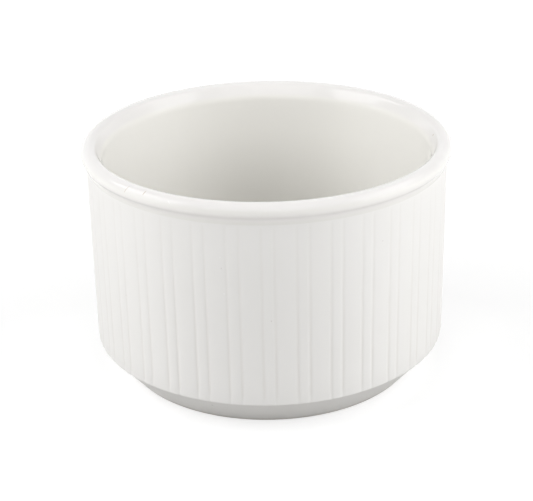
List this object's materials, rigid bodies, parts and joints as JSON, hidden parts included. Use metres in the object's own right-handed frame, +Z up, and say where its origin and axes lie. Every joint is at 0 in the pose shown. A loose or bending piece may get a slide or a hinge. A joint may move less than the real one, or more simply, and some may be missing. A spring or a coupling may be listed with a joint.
{
  "type": "bouillon cup",
  "caption": "Handleless porcelain bouillon cup with a thick rolled rim, a straight wall fluted in pairs of fine grooves and a conical foot that lets cups stack.",
  "frame": {"origin": "middle of the plane that the foot ring stands on", "axes": "+Z up along the cup's axis of turning; -Y is the side that faces the picture's camera, where a pair of grooves is centred"},
  "size_m": [0.095, 0.095, 0.0616],
  "materials": {
    "satin_porcelain": "satin white biscuit porcelain, smooth to the touch",
    "gloss_glaze": "clear gloss glaze over white porcelain",
    "base_gloss_glaze": "clear gloss glaze over white porcelain"
  },
  "bodies": {
    "root": {"porcelain_body": "satin_porcelain", "inner_glaze": "gloss_glaze", "base_glaze": "base_gloss_glaze"}
  },
  "joints": []
}
